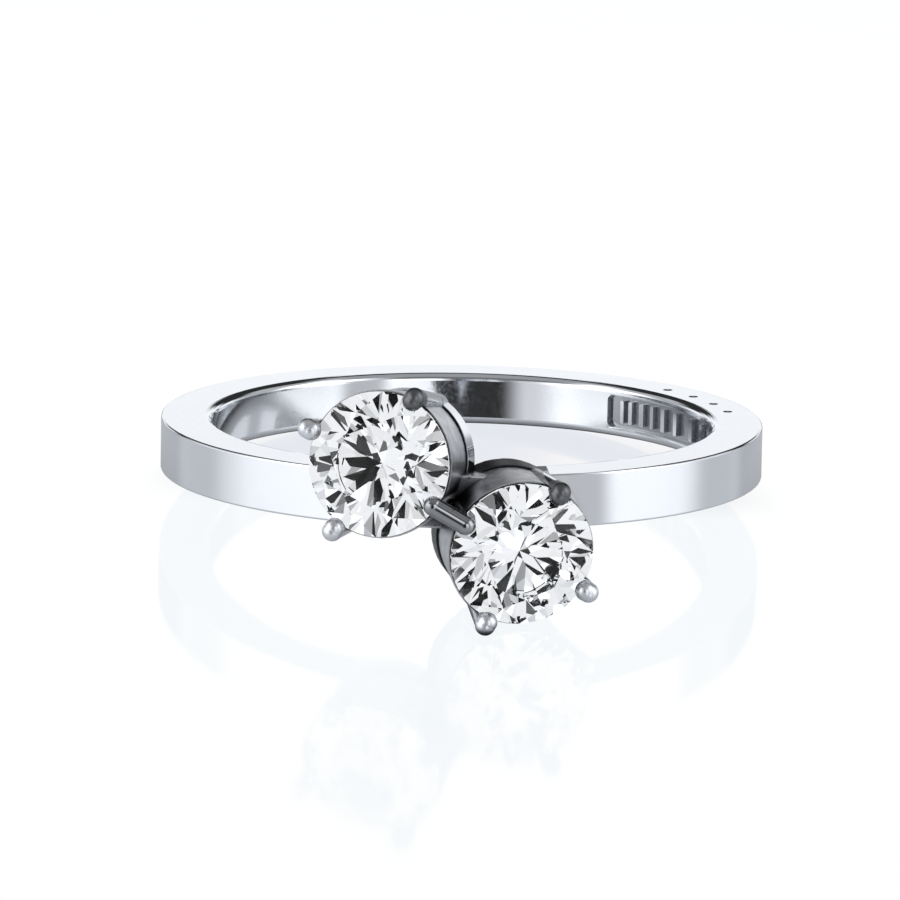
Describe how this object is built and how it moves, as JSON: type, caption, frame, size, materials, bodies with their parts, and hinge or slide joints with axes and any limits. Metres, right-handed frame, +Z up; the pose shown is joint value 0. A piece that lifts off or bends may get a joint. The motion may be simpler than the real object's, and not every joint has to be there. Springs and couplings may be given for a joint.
{
  "type": "two-stone ring",
  "caption": "Plain flat band with a slanted pair of round cup heads, each holding a round brilliant in claws, joined by a short bar between the stones.",
  "frame": {"origin": "centre of the finger hole, halfway along the band's width", "axes": "+Z up, as the ring lies on its side tipped up by its lowest claw; -Y towards the stones; +X to the right seen from the stones' side"},
  "size_m": [0.02, 0.0224, 0.0079],
  "materials": {
    "white_gold": "high polish",
    "diamond": "polished facets, colourless"
  },
  "bodies": {
    "root": {"ring_metal": "white_gold", "stone_upper": "diamond", "stone_lower": "diamond"}
  },
  "joints": []
}
